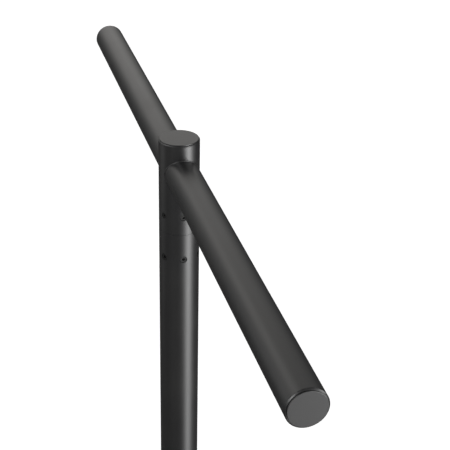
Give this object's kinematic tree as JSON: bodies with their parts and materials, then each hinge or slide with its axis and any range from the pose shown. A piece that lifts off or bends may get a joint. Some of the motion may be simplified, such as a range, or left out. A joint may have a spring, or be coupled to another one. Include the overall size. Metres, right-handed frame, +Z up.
{
  "type": "pool handrail",
  "caption": "Straight round rail held crosswise through the bolt-on head of a round post, with flat end caps and a bolted base under a loose cover rosette.",
  "frame": {"origin": "centre of the base's underside, on the deck", "axes": "+Z up along the post, +X along the rail towards its front cap, +Y across the rail"},
  "size_m": [1.2, 0.176, 0.9],
  "materials": {
    "satin_black_coat": "satin black powder coat over stainless steel tube",
    "black_screw": "blackened stainless steel, semi-gloss",
    "stainless": "brushed stainless steel",
    "black_rubber": "matte black rubber"
  },
  "bodies": {
    "root": {"post_tube": "satin_black_coat", "head_tube": "satin_black_coat", "rail_tube": "satin_black_coat", "coupling_sleeve": "stainless", "upper_screw_1": "black_screw", "upper_screw_2": "black_screw", "upper_screw_3": "black_screw", "upper_screw_4": "black_screw", "upper_screw_5": "black_screw", "upper_screw_6": "black_screw", "lower_screw_1": "black_screw", "lower_screw_2": "black_screw", "lower_screw_3": "black_screw", "lower_screw_4": "black_screw", "lower_screw_5": "black_screw", "lower_screw_6": "black_screw", "post_cap": "satin_black_coat", "post_cap_seal": "black_rubber", "rail_cap_front": "satin_black_coat", "rail_cap_front_seal": "black_rubber", "rail_cap_rear": "satin_black_coat", "rail_cap_rear_seal": "black_rubber", "rail_weld_front": "satin_black_coat", "rail_weld_rear": "satin_black_coat", "base_plate": "stainless", "base_weld": "stainless", "base_gasket": "black_rubber", "anchor_screw_1": "stainless", "anchor_screw_2": "stainless", "anchor_screw_3": "stainless", "anchor_screw_4": "stainless", "anchor_washer_1": "stainless", "anchor_washer_2": "stainless", "anchor_washer_3": "stainless", "anchor_washer_4": "stainless"},
    "rosette": {"cover_rosette": "satin_black_coat", "rosette_seal": "black_rubber"}
  },
  "joints": [
    {"name": "rosette_slide", "type": "slide", "parent": "root", "child": "rosette", "axis": [0, 0, 1], "range_m": [0, 0.785]}
  ]
}
